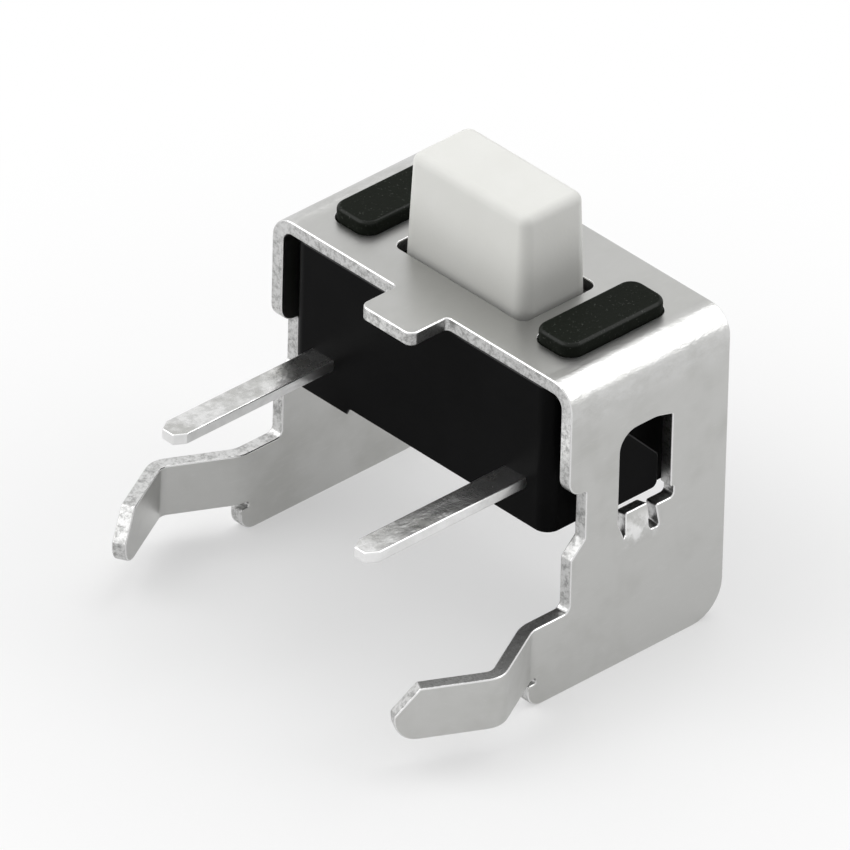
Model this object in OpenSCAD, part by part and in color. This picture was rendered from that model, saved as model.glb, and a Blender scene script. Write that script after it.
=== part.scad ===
// Side tactile switch with a folded steel bracket and two snap-in legs.
// X runs across the switch, the legs and terminals point along -Y into the board, and the
// plunger is pressed down along -Z. The origin is on the centre line, in the plane of the
// housing's front face, at the level of the bracket's lower edges.

/* [Bracket] */
// Width over the two side plates
bracket_w = 7.0; // [6.6:0.1:8.0]
// Depth of the top plate and the side plates
bracket_d = 3.5; // [3.3:0.1:4.4]
// Height from the lower edges to the top plate's upper face
bracket_h = 5.75; // [5.4:0.05:7.0]
// Thickness of the steel sheet
sheet_t = 0.25; // [0.20:0.01:0.28]
// Outer radius of the folds between top plate and side plates
fold_r = 0.45; // [0.35:0.05:0.6]
// Outside radius of the side plates' lower rear corners
heel_r = 0.65; // [0.2:0.05:1.0]

/* [Board side] */
// Distance from the housing's front face to the printed board
seat_d = 0.8; // [0.6:0.05:1.2]
// Width of the top plate's tab that rests on the board
tab_w = 1.2; // [0.8:0.1:1.8]
// Corner radius of the tab
tab_r = 0.16; // [0.05:0.01:0.3]
// Radius of the lower corner of each side plate's shoulder
shoulder_r = 0.3; // [0.1:0.02:0.34]
// How far the side plates' front edges lie behind the housing's face, below the relief
cheek_y = 0.08; // [0.02:0.02:0.2]
// Depth of the relief in the side plates' front edges
relief_d = 0.38; // [0.2:0.02:0.5]
// Height of the relief's lower end
relief_z0 = 2.47; // [2.2:0.01:2.7]
// Height of the relief's upper end
relief_z1 = 3.68; // [3.3:0.01:4.2]
// Radius of the corner above the relief
relief_r = 0.33; // [0.1:0.01:0.36]

/* [Snap-in legs] */
// Height of the legs' centre line
leg_z = 1.02; // [0.9:0.02:1.3]
// Width of a leg's blade
leg_w = 0.96; // [0.7:0.02:1.1]
// Reach of a leg beyond the housing's front face
leg_reach = 3.52; // [3.2:0.02:4.2]
// Straight length before the leg's first bend, from the housing's front face
leg_straight = 0.62; // [0.5:0.02:0.72]
// Angle by which the leg flares out and then returns
leg_angle = 27.5; // [15:0.5:35]
// Sideways throw of the leg's knee
leg_throw = 0.64; // [0.4:0.02:0.8]
// Middle radius of the flare bend
flare_r = 0.55; // [0.3:0.05:0.8]
// Middle radius of the knee bend
knee_r = 0.34; // [0.2:0.02:0.6]
// Length of the slope on the upper side of the leg's tip
tip_l = 0.42; // [0.2:0.02:0.6]
// Height of that slope
tip_h = 0.48; // [0.2:0.02:0.55]
// Radius of the leg's tip on its lower side
tip_r = 0.4; // [0.2:0.02:0.4]
// Radius of the relief slot between leg and shoulder
notch_r = 0.05; // [0.04:0.01:0.08]
// Radius of the corner between the leg's upper edge and the side plate
crook_r = 0.12; // [0.05:0.01:0.2]

/* [Latch windows] */
// Distance from the front face to the window's front edge
window_y = 1.11; // [1.0:0.01:1.3]
// Width of the window along the side plate
window_w = 1.15; // [1.0:0.01:1.5]
// Height of the window's floor
window_z0 = 2.74; // [2.7:0.02:2.9]
// Height of the window's top edge
window_z1 = 4.45; // [4.2:0.01:4.7]
// Radius of the window's upper front corner
window_r = 0.36; // [0.26:0.02:0.4]
// How far the window's top edge falls towards the rear
window_sag = 0.1; // [0.04:0.02:0.14]
// Length of the falling stretch of the window's top edge
window_sag_l = 0.36; // [0.2:0.02:0.5]
// How far the tongue's bay reaches behind the window's rear edge
bay_step = 0.07; // [0.04:0.01:0.12]
// Height of the bay at its rear end
bay_h = 0.2; // [0.14:0.02:0.3]
// Height of the tongue's root
tongue_z0 = 2.3; // [2.1:0.02:2.5]
// Height of the tongue's free end
tongue_z1 = 2.76; // [2.6:0.02:2.8]
// Width of the tongue's free end
tongue_w = 0.5; // [0.3:0.02:0.52]
// Width of the slit in front of the tongue, at its lower end
tongue_slit = 0.04; // [0.03:0.01:0.08]
// Width of the slit behind the tongue, at its lower end
tongue_gap = 0.22; // [0.14:0.01:0.24]
// How much higher the front slit ends than the rear one
slit_rise = 0.1; // [0:0.01:0.12]
// Angle by which the tongue leans inwards
tongue_lean = 12; // [5:1:15]

/* [Housing] */
// Width of the moulded housing
housing_w = 6.0; // [5.6:0.1:6.1]
// Height of the housing's end feet above the bracket's lower edges
housing_z = 2.73; // [2.6:0.01:2.9]
// Depth of the clearance between the end feet
housing_lift = 0.13; // [0:0.01:0.2]
// Width of the raised span between the end feet
housing_span = 3.3; // [2:0.1:4]
// Radius of the housing's upright corners
housing_r = 0.27; // [0.1:0.01:0.4]
// Height of the latch bosses' lower faces
boss_z0 = 3.0; // [2.9:0.02:3.2]
// Height of the latch bosses' upper ends
boss_z1 = 4.3; // [4.1:0.02:4.4]
// Size of the sloping cut across each latch boss's upper rear corner
boss_slope = 0.66; // [0.3:0.02:0.74]
// Radius of the upper front corner of the latch bosses
boss_r = 0.2; // [0.18:0.02:0.3]
// Radius of the lower rear corner of the latch bosses
boss_foot_r = 0.12; // [0.06:0.02:0.3]
// How far the latch bosses stay below the side plates' outer faces
boss_drop = 0.1; // [0.05:0.01:0.2]
// Width of the cavity under the top plate
cavity_w = 3.4; // [3.3:0.02:3.5]
// Depth of the cavity, front to back
cavity_d = 2.4; // [2.3:0.05:2.6]
// Height of the cavity's floor, level with the terminals' upper faces
floor_z = 3.62; // [3.5:0.02:3.8]

/* [Heat-stake posts] */
// Distance between the centres of the two posts
post_pitch = 4.72; // [4.68:0.02:4.8]
// Distance of the posts in front of the housing's middle
post_ahead = 0.05; // [0:0.01:0.1]
// Width of a post
post_w = 0.88; // [0.7:0.02:1.0]
// Depth of a post, front to back
post_d = 2.2; // [2.0:0.01:2.5]
// Height of a post's melted head above the top plate
post_h = 0.23; // [0.1:0.01:0.4]
// Radius of a post's upright corners
post_r = 0.26; // [0.2:0.01:0.45]
// Radius round the upper edge of a post's head
post_edge = 0.07; // [0.05:0.01:0.2]
// Clearance round a post in its hole
post_gap = 0.04; // [0.03:0.01:0.08]

/* [Plunger] */
// Height of the plunger's pressing face above the top plate
plunger_h = 1.78; // [1.0:0.02:4.0]
// Width of the plunger at the top plate
plunger_w = 2.86; // [2.4:0.02:2.9]
// Depth of the plunger at the top plate
plunger_d = 1.46; // [1.2:0.02:1.5]
// Distance of the plunger and its slot in front of the housing's middle
plunger_ahead = 0.14; // [0:0.01:0.2]
// Draft of each side of the plunger, in degrees
plunger_draft = 2.2; // [0:0.1:2.5]
// Radius of the plunger's upper edges
plunger_edge = 0.16; // [0.05:0.01:0.3]
// Radius of the plunger's upright corners at their upper ends
plunger_r = 0.1; // [0.05:0.01:0.3]
// Clearance at each end of the slot
slot_gap_x = 0.08; // [0.05:0.01:0.12]
// Clearance in front of and behind the plunger in the slot
slot_gap_y = 0.09; // [0.06:0.01:0.18]
// Thickness of the flange that keeps the plunger in
flange_t = 0.5; // [0.3:0.02:0.6]
// Running clearance round and above the flange
flange_gap = 0.05; // [0.03:0.01:0.08]
// Radius of the nub that presses the dome
nub_r = 0.5; // [0.3:0.05:0.7]
// Clearance between the nub and the dome at rest
nub_gap = 0.01; // [0:0.01:0.03]

/* [Contact dome] */
// Length of the dome across its two feet
dome_w = 3.2; // [3.0:0.05:3.25]
// Width of the dome between its trimmed sides
dome_d = 2.1; // [1.8:0.05:2.2]
// Height of the dome's crown above the cavity's floor
dome_h = 0.38; // [0.32:0.01:0.45]
// Thickness of the dome's sheet
dome_t = 0.07; // [0.05:0.01:0.1]

/* [Terminals] */
// Distance between the centres of the two terminals
terminal_pitch = 4.5; // [4.3:0.1:4.8]
// Width of a terminal
terminal_w = 0.5; // [0.4:0.02:0.6]
// Thickness of a terminal
terminal_t = 0.2; // [0.15:0.01:0.25]
// Reach of a terminal beyond the housing's front face
terminal_reach = 3.4; // [3.0:0.05:4.0]
// Length of the taper at a terminal's tip
terminal_taper = 0.2; // [0.1:0.01:0.4]
// Width of the end of a terminal's tip
terminal_tip = 0.26; // [0.15:0.01:0.36]
// Width of the contact pads in the cavity's floor
pad_w = 0.6; // [0.4:0.05:0.8]

/* [Hidden] */
$fn = 64;

// Past-the-face length that keeps cuts clean
over = 0.3;
// Overlap that joins two solids of one piece
weld = 0.01;

mid_y = bracket_d / 2;
half_w = bracket_w / 2;
under_z = bracket_h - sheet_t;
fold_z = bracket_h - fold_r;
plate_x = half_w - sheet_t / 2;
leg_z0 = leg_z - leg_w / 2;
leg_z1 = leg_z + leg_w / 2;

window_y1 = window_y + window_w;
boss_gap = 0.03;
boss_w = 0.8 * window_w;
tongue_y = window_y + window_w * 0.387;
tongue_root = tongue_w + 0.02;
// The tongue's free end lies a little further back than its root
tongue_shift = 0.06;

slot_w = plunger_w + 2 * slot_gap_x;
slot_d = plunger_d + 2 * slot_gap_y;
// Radius that the punch leaves in small corners of the sheet
punch_r = 0.08;
post_top = bracket_h + post_h;
flange_w = plunger_w + 0.08;
flange_d = cavity_d - 2 * flange_gap;
flange_top = under_z - flange_gap;
flange_z = flange_top - flange_t;
plunger_top = bracket_h + plunger_h;

dome_r = (dome_w * dome_w / 4 + dome_h * dome_h) / (2 * dome_h);
dome_centre_z = floor_z + dome_h - dome_r;
terminal_z = floor_z - terminal_t;
terminal_x = terminal_pitch / 2;
// The carrier strip of the middle contact runs inside the housing's front wall
carrier_y = 0.12;
carrier_w = 0.3;

// What lies past an outside corner of radius r. The corner is at the origin and the
// material lies towards -X and -Y.
module corner_trim(r) {
    translate([-r, -r])
        difference() {
            square(r + over);
            circle(r);
        }
}

// Material that fills an inside corner with radius r. The corner is at the origin and the
// open side lies towards +X and +Y.
module corner_fill(r) {
    difference() {
        translate([-weld, -weld])
            square(r + weld);
        translate([r, r])
            circle(r);
    }
}

// Rectangle x by y about the origin, with its four corners rounded
module round_rect(x, y, r) {
    difference() {
        square([x, y], center = true);
        for (sx = [0, 1], sy = [0, 1])
            mirror([sx, 0])
                mirror([0, sy])
                    translate([x / 2, y / 2])
                        corner_trim(r);
    }
}

// Extrudes an outline drawn in (Y, Z) along X, from x0 to x1
module along_x(x0, x1) {
    translate([x0, 0, 0])
        rotate([90, 0, 90])
            linear_extrude(x1 - x0)
                children();
}

// Extrudes an outline drawn in (X, Z) along Y, from y0 to y1
module along_y(y0, y1) {
    translate([0, y1, 0])
        rotate([90, 0, 0])
            linear_extrude(y1 - y0)
                children();
}

// Extrudes an outline drawn in (X, Y) along Z, from z0 to z1
module along_z(z0, z1) {
    translate([0, 0, z0])
        linear_extrude(z1 - z0)
            children();
}

// Makes its children and their mirror image across the centre plane
module both_sides() {
    children();
    mirror([1, 0, 0])
        children();
}

// Outline of a block seen from the front or the side: width w at height z0, drafted
// inwards to height z1, with the two upper edges rounded
module drafted_outline(w, z0, z1, draft, r) {
    top = w / 2 - (z1 - z0) * tan(draft);
    difference() {
        polygon([[-w / 2, z0], [w / 2, z0], [top, z1], [-top, z1]]);
        for (s = [0, 1])
            mirror([s, 0])
                translate([top, z1])
                    rotate(draft / 2)
                        corner_trim(r);
    }
}

// Block of plan size w by d at height z0 with drafted sides, rounded upper edges and
// upright corners that narrow with the draft to radius r at height z1
module soft_block(w, d, z0, z1, draft, r, edge) {
    h = z1 - z0;
    foot_r = r + h * tan(draft);
    difference() {
        intersection() {
            along_y(-d, d)
                drafted_outline(w, z0, z1, draft, edge);
            along_x(-w, w)
                drafted_outline(d, z0, z1, draft, edge);
        }
        for (sx = [0, 1], sy = [0, 1])
            mirror([sx, 0, 0])
                mirror([0, sy, 0])
                    translate([w / 2 - foot_r, d / 2 - foot_r, z0])
                        difference() {
                            cube([foot_r + over, foot_r + over, h]);
                            cylinder(h = h, r1 = foot_r, r2 = r);
                        }
    }
}

// Bend in the leg's blade. It starts at the origin heading along -Y and turns by a degrees
// about middle radius r, towards +X where s is 1. Its children are placed at the far end,
// in the new heading.
module blade_bend(r, a, s) {
    mirror([s < 0 ? 1 : 0, 0, 0])
        translate([r, 0, 0]) {
            linear_extrude(leg_w)
                intersection() {
                    difference() {
                        circle(r + sheet_t / 2);
                        circle(r - sheet_t / 2);
                    }
                    polygon([[0, 0], [-2 * r, 0], [-2 * r, -2 * r * tan(a / 2)],
                             [-2 * r * cos(a), -2 * r * sin(a)]]);
                }
            rotate([0, 0, a])
                translate([-r, 0, 0])
                    mirror([s < 0 ? 1 : 0, 0, 0])
                        children();
        }
}

// Straight stretch of the leg's blade, heading along -Y, with its children at the far end
module blade_run(l) {
    translate([-sheet_t / 2, -l - weld, 0])
        cube([sheet_t, l + 2 * weld, leg_w]);
    translate([0, -l, 0])
        children();
}

// Last stretch of the leg's blade: sloped on its upper side and rounded on its lower side
module blade_tip(l) {
    along_x(-sheet_t / 2, sheet_t / 2)
        difference() {
            polygon([[weld, 0], [-l, 0], [-l, leg_w - tip_h], [tip_l - l, leg_w], [weld, leg_w]]);
            translate([-l, 0])
                rotate(180)
                    corner_trim(tip_r);
        }
}

// Right leg: flared outwards, then turned back at the knee
module leg() {
    run_l = leg_throw / sin(leg_angle) - flare_r * tan(leg_angle / 2) - knee_r * tan(leg_angle);
    knee_y = leg_straight + flare_r * tan(leg_angle / 2) + leg_throw / tan(leg_angle);
    tip_run = (leg_reach - knee_y) / cos(leg_angle) - knee_r * tan(leg_angle);
    translate([plate_x, -leg_straight, leg_z0])
        blade_bend(flare_r, leg_angle, 1)
            blade_run(run_l)
                blade_bend(knee_r, 2 * leg_angle, -1)
                    blade_tip(tip_run);
}

// Flat outline of the right side plate up to the leg's first bend, in (Y, Z)
module plate_outline() {
    slot_z = leg_z0 - notch_r;
    slot_y = -leg_straight - notch_r;
    difference() {
        union() {
            polygon([[bracket_d, fold_z], [bracket_d, 0], [-seat_d, 0],
                     [-seat_d, slot_z - notch_r],
                     [slot_y, slot_z - notch_r], [slot_y, slot_z],
                     [-leg_straight - weld, slot_z], [-leg_straight - weld, leg_z1],
                     [cheek_y, leg_z1], [cheek_y, relief_z0],
                     [relief_d, relief_z0 + relief_d - cheek_y], [relief_d, relief_z1],
                     [0, relief_z1], [0, fold_z]]);
            translate([cheek_y, leg_z1])
                mirror([1, 0])
                    corner_fill(crook_r);
        }
        translate([slot_y, slot_z])
            circle(notch_r);
        translate([bracket_d, 0])
            mirror([0, 1])
                corner_trim(heel_r);
        translate([-seat_d, 0])
            rotate(180)
                corner_trim(shoulder_r);
        translate([0, relief_z1])
            rotate(180)
                corner_trim(relief_r);
    }
}

// Window in the side plate and the bay that the tongue is lanced from, in (Y, Z)
module window_outline() {
    bay_y1 = window_y1 + bay_step;
    sag_slope = window_sag / window_sag_l;
    difference() {
        union() {
            translate([window_y, window_z0])
                square([window_w, window_z1 - window_z0]);
            translate([tongue_y, window_z0])
                square([bay_y1 - tongue_y, bay_h]);
        }
        translate([window_y, window_z1])
            mirror([1, 0])
                corner_trim(window_r);
        polygon([[window_y1 + over, window_z1 + over],
                 [window_y1 - window_sag_l - over / sag_slope, window_z1 + over],
                 [window_y1 + over, window_z1 - window_sag - over * sag_slope]]);
        translate([bay_y1, window_z0])
            mirror([0, 1])
                corner_trim(punch_r);
    }
    polygon([[window_y, window_z0 + weld],
             [tongue_y - tongue_root / 2 - tongue_slit, tongue_z0 + slit_rise],
             [tongue_y + tongue_root / 2 + tongue_gap, tongue_z0],
             [tongue_y + tongue_root / 2 + 0.12, window_z0 + weld]]);
}

// Tongue pressed in under the latch boss, leaning about its root
module tongue() {
    tongue_l = (tongue_z1 - tongue_z0) / cos(tongue_lean);
    translate([plate_x, tongue_y, tongue_z0]) {
        rotate([0, -tongue_lean, 0])
            along_x(-sheet_t / 2, sheet_t / 2)
                polygon([[-tongue_root / 2, 0], [tongue_root / 2, 0],
                         [tongue_shift + tongue_w / 2, tongue_l],
                         [tongue_shift - tongue_w / 2, tongue_l]]);
        rotate([90, 0, 0])
            cylinder(h = tongue_root, d = sheet_t, center = true);
    }
}

// Side plate with its leg, window and tongue
module side_plate() {
    difference() {
        along_x(half_w - sheet_t, half_w)
            plate_outline();
        along_x(half_w - sheet_t - over, half_w + over)
            window_outline();
    }
    tongue();
    leg();
}

// Section of the folded top in (X, Z): flat plate and the two quarter-round folds
module top_section() {
    difference() {
        translate([-half_w, fold_z])
            square([bracket_w, fold_r]);
        for (s = [0, 1])
            mirror([s, 0])
                translate([half_w, bracket_h])
                    corner_trim(fold_r);
        difference() {
            translate([sheet_t - half_w, fold_z - over])
                square([bracket_w - 2 * sheet_t, fold_r - sheet_t + over]);
            for (s = [0, 1])
                mirror([s, 0])
                    translate([half_w - sheet_t, under_z])
                        corner_trim(fold_r - sheet_t);
        }
    }
}

// Plan of the tab that meets the board, with fillets where it leaves the top plate
module tab_plan() {
    difference() {
        translate([-tab_w / 2, -seat_d])
            square([tab_w, seat_d + weld]);
        for (s = [0, 1])
            mirror([s, 0])
                translate([tab_w / 2, -seat_d])
                    mirror([0, 1])
                        corner_trim(tab_r);
    }
    for (s = [0, 1])
        mirror([s, 0])
            translate([tab_w / 2, 0])
                mirror([0, 1])
                    corner_fill(punch_r);
}

module bracket() {
    color("silver") {
        difference() {
            union() {
                along_y(0, bracket_d)
                    top_section();
                along_z(under_z, bracket_h)
                    tab_plan();
            }
            translate([0, mid_y, 0])
                along_z(under_z - over, bracket_h + over) {
                    translate([0, -plunger_ahead])
                        round_rect(slot_w, slot_d, punch_r);
                    for (s = [-1, 1])
                        translate([s * post_pitch / 2, -post_ahead])
                            round_rect(post_w + 2 * post_gap, post_d + 2 * post_gap,
                                       post_r + post_gap);
                }
        }
        both_sides()
            side_plate();
    }
}

// Plan of the left terminal, whose pad carries one foot of the dome
module terminal_left_plan() {
    terminal_blade(-1, mid_y + pad_w);
    translate([-terminal_x - terminal_w / 2, mid_y - pad_w])
        square([terminal_x + terminal_w / 2 - dome_w / 2 + pad_w / 2, 2 * pad_w]);
}

// Plan of the right terminal, whose finger is the middle contact under the crown
module terminal_right_plan() {
    terminal_blade(1, carrier_y + carrier_w);
    translate([-pad_w / 2, carrier_y])
        square([terminal_x + pad_w / 2, carrier_w]);
    translate([-pad_w / 2, carrier_y])
        square([pad_w, mid_y + pad_w / 2 - carrier_y]);
}

// Straight blade of a terminal with its tapered tip, back to y1
module terminal_blade(side, y1) {
    translate([side * terminal_x, 0])
        polygon([[-terminal_w / 2, y1], [-terminal_w / 2, terminal_taper - terminal_reach],
                 [-terminal_tip / 2, -terminal_reach], [terminal_tip / 2, -terminal_reach],
                 [terminal_w / 2, terminal_taper - terminal_reach], [terminal_w / 2, y1]]);
}

module terminal_left() {
    color("gainsboro")
        along_z(terminal_z, floor_z)
            terminal_left_plan();
}

module terminal_right() {
    color("gainsboro")
        along_z(terminal_z, floor_z)
            terminal_right_plan();
}

// Latch boss that fills the front part of the window, in (Y, Z)
module boss_outline() {
    boss_y = window_y + boss_gap;
    difference() {
        translate([boss_y, boss_z0])
            square([boss_w, boss_z1 - boss_z0]);
        translate([boss_y, boss_z1])
            mirror([1, 0])
                corner_trim(boss_r);
        polygon([[boss_y + boss_w + over, boss_z1 + over],
                 [boss_y + boss_w - boss_slope - over, boss_z1 + over],
                 [boss_y + boss_w + over, boss_z1 - boss_slope - over]]);
        translate([boss_y + boss_w, boss_z0])
            mirror([0, 1])
                corner_trim(boss_foot_r);
    }
}

module housing() {
    color("#1a1a1a")
        difference() {
            union() {
                translate([0, mid_y, 0])
                    along_z(housing_z, under_z)
                        round_rect(housing_w, bracket_d, housing_r);
                both_sides() {
                    along_x(housing_w / 2 - over, half_w - boss_drop)
                        boss_outline();
                    translate([post_pitch / 2, mid_y - post_ahead, 0])
                        soft_block(post_w, post_d, under_z - over, post_top, 0, post_r,
                                   post_edge);
                }
            }
            translate([-housing_span / 2, -over, housing_z - over])
                cube([housing_span, bracket_d + 2 * over, housing_lift + over]);
            translate([0, mid_y, 0])
                along_z(floor_z, under_z + over)
                    round_rect(cavity_w, cavity_d, housing_r);
            along_z(terminal_z, floor_z) {
                terminal_left_plan();
                terminal_right_plan();
            }
        }
}

module plunger() {
    // The drafted sides run on below the top plate, so the foot is a little wider
    foot_grow = 2 * (sheet_t + flange_gap) * tan(plunger_draft);
    color("ivory")
        translate([0, mid_y, 0]) {
            translate([0, -plunger_ahead, 0])
                soft_block(plunger_w + foot_grow, plunger_d + foot_grow, flange_top,
                           plunger_top, plunger_draft, plunger_r, plunger_edge);
            along_z(flange_z, flange_top)
                round_rect(flange_w, flange_d, housing_r - flange_gap);
            translate([0, 0, floor_z + dome_h + nub_gap])
                cylinder(h = flange_z - floor_z - dome_h - nub_gap + weld, r = nub_r);
        }
}

module contact_dome() {
    color("lightgray")
        translate([0, mid_y, 0])
            intersection() {
                translate([0, 0, dome_centre_z])
                    difference() {
                        sphere(dome_r);
                        sphere(dome_r - dome_t);
                    }
                translate([-dome_w / 2, -dome_d / 2, floor_z])
                    cube([dome_w, dome_d, dome_h + over]);
            }
}

bracket();
housing();
plunger();
contact_dome();
terminal_left();
terminal_right();
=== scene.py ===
# Side tactile switch: its looks, its light and its camera.
# Lengths in the dictionaries are in millimetres and angles in degrees. X runs across the
# switch, the legs and terminals point along -Y, and the plunger stands up along Z.
import math

import bpy
import numpy as np
from mathutils import Matrix, Vector
from mathutils.geometry import delaunay_2d_cdt


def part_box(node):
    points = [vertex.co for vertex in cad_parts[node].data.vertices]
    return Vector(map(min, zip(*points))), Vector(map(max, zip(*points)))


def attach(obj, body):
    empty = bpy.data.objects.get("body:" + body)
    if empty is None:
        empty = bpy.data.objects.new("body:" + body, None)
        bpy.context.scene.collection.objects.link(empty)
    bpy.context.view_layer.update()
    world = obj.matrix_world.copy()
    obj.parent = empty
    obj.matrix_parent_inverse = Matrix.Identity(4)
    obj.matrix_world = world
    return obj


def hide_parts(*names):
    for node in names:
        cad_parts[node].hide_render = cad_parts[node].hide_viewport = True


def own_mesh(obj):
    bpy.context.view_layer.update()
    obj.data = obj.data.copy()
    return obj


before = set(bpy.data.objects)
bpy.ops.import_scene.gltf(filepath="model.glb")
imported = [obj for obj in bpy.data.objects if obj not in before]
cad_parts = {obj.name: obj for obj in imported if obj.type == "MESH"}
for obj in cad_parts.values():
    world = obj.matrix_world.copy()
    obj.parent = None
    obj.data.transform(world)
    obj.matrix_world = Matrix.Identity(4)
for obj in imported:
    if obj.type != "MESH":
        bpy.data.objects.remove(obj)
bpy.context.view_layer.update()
mm = 0.001
print("frame loaded:", sorted(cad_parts))


# Lowest and highest corners of a CAD node, in millimetres
def nodeBox(node):
    return [np.array(corner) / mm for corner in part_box(node)]


# Closed outline with rounded corners, as points and outward normals. It keeps the material
# on its left. Each corner becomes an arc: centre plus or minus radius times the normal, while
# the normal turns evenly from one side's to the next. Sides are cut into steps no longer
# than spacing.
def roundedLoop(corners, radii, spacing, arcSteps=8):
    corner = np.array(corners, float)
    radius = np.broadcast_to(np.array(radii, float), len(corner))
    onward = np.roll(corner, -1, 0) - corner
    onward /= np.linalg.norm(onward, axis=1)[:, None]
    inward = np.roll(onward, 1, 0)
    turn = np.arctan2(inward[:, 0] * onward[:, 1] - inward[:, 1] * onward[:, 0],
                      (inward * onward).sum(1))
    side = np.sign(turn)
    start = corner - inward * (radius * np.tan(abs(turn) / 2))[:, None]
    centre = start + np.stack([-inward[:, 1], inward[:, 0]], 1) * (side * radius)[:, None]
    angle = np.arctan2(-inward[:, 0], inward[:, 1])[:, None]
    angle = angle + turn[:, None] * np.linspace(0, 1, arcSteps + 1)
    normal = np.stack([np.cos(angle), np.sin(angle)], 2)
    point = centre[:, None] + normal * (side * radius)[:, None, None]
    return splitSides(point.reshape(-1, 2), normal.reshape(-1, 2), spacing)


# Cuts each side of a closed loop into equal steps: start plus the share of the way to the
# next point, for points and normals alike
def splitSides(point, normal, spacing):
    step = np.roll(point, -1, 0) - point
    count = np.maximum(1, np.ceil(np.linalg.norm(step, axis=1) / spacing)).astype(int)
    index = np.repeat(np.arange(len(point)), count)
    share = (np.arange(count.sum()) - np.repeat(np.cumsum(count) - count, count)) / count[index]
    turnStep = np.roll(normal, -1, 0) - normal
    newNormal = normal[index] + turnStep[index] * share[:, None]
    newNormal /= np.linalg.norm(newNormal, axis=1)[:, None]
    return point[index] + step[index] * share[:, None], newNormal


# Rectangle about a centre with rounded corners, as a loop round material or round a hole
def rectangleLoop(centre, width, depth, radius, spacing, hole=False):
    sign = np.array([[-1, -1], [1, -1], [1, 1], [-1, 1]], float)
    if hole:
        sign = sign[::-1]
    corners = np.array(centre) + sign * np.array([width / 2, depth / 2])
    return roundedLoop(corners, radius, spacing)


# Even-odd rule on whole arrays: a spot is inside where a ray along +X crosses the loops
# an odd number of times
def insideLoops(spot, loops):
    odd = np.zeros(len(spot), bool)
    x, y = spot[:, None, 0], spot[:, None, 1]
    for point, normal in loops:
        a = point[None]
        b = np.roll(point, -1, 0)[None]
        spans = (a[..., 1] > y) != (b[..., 1] > y)
        rise = np.where(spans, b[..., 1] - a[..., 1], 1)
        cross = a[..., 0] + (y - a[..., 1]) * (b[..., 0] - a[..., 0]) / rise
        odd ^= (spans & (x < cross)).sum(1) % 2 == 1
    return odd


# Triangles that fill the space inside loops, with extra points in it. Returns triangles
# whose numbers count the loops' points first and then the extra points. A triangle that has
# a stretch of a loop as its side is inside if it runs the loop's way round, and outside if it
# runs against it. Any other is inside if its middle is.
def fillLoops(loops, extra):
    point = np.concatenate([p for p, n in loops] + [extra])
    follow = nextIndex([len(p) for p, n in loops])
    edges = np.stack([np.arange(len(follow)), follow], 1)
    found = delaunay_2d_cdt([Vector(p) for p in point], edges.tolist(), [], 0, 1e-7)
    source = np.array([s[0] for s in found[3]])
    triangle = source[np.array(found[2])]
    follow = np.concatenate([follow, np.full(len(extra), -1)])
    onward = np.roll(triangle, -1, 1)
    along = (follow[triangle] == onward).any(1)
    against = (follow[onward] == triangle).any(1)
    inside = insideLoops(point[triangle].mean(1), loops)
    return triangle[along | (inside & ~against)]


# Number of the next point round each of several closed loops that lie one after another
def nextIndex(lengths):
    follow = np.arange(1, sum(lengths) + 1)
    ends = np.cumsum(lengths)
    follow[ends - 1] = ends - np.array(lengths)
    return follow


# Extra points for bends: a grid over a rectangle, less what lies outside the loops or
# closer than the margin to them
def innerPoints(loops, across, along, margin):
    grid = np.stack(np.meshgrid(across, along), -1).reshape(-1, 2)
    edge = np.concatenate([p for p, n in loops])
    grid = grid[insideLoops(grid, loops)]
    gap = np.sqrt(((grid[:, None] - edge[None]) ** 2).sum(-1)).min(1)
    return grid[gap > margin]


# Rings of points round the rims of a slab, from its upper face to its lower one, with their
# normals and their turn, which is 0 on a face and 1 on the wall. At angle a the profile stands
# edge * (1 - cos a) inside the loop, and edge * (1 - sin a) from the face. With draft, it also
# moves inwards by its height times the draft's tangent. A pit has no rounding at its floor.
def rimRings(point, normal, isPit, high, level, edges, draft, roundSteps):
    quarter = np.linspace(math.pi / 2, 0, roundSteps + 1)
    rings = []
    for angle, upper in [(a, True) for a in quarter] + [(-a, False) for a in quarter[::-1]]:
        size = np.full(len(point), edges[0]) if upper else np.where(isPit, 0, edges[1])
        height = (high - size if upper else level + size) + size * math.sin(angle)
        inset = size * (1 - math.cos(angle)) + math.tan(math.radians(draft)) * (height - level)
        slope = np.where(isPit & (not upper), 0, math.sin(angle))
        rings.append((np.column_stack([point - normal * inset[:, None], height]),
                      np.column_stack([normal * np.sqrt(1 - slope ** 2)[:, None], slope]),
                      np.full(len(point), math.cos(angle))))
    return [np.stack(values) for values in zip(*rings)]


# Quads between neighbouring rings, less those without area, whose diagonals are in line
def ringQuads(rings, follow):
    ringCount, count = rings.shape[:2]
    here = np.arange(count)
    start = (np.arange(ringCount - 1) * count)[:, None]
    quads = np.stack([start + here, start + count + here, start + count + follow,
                      start + follow], -1).reshape(-1, 4)
    point = rings.reshape(-1, 3)
    diagonals = (point[quads[:, k + 2]] - point[quads[:, k]] for k in (0, 1))
    smallest = 1e-9
    return quads[np.linalg.norm(np.cross(*diagonals), axis=1) > smallest]


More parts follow.
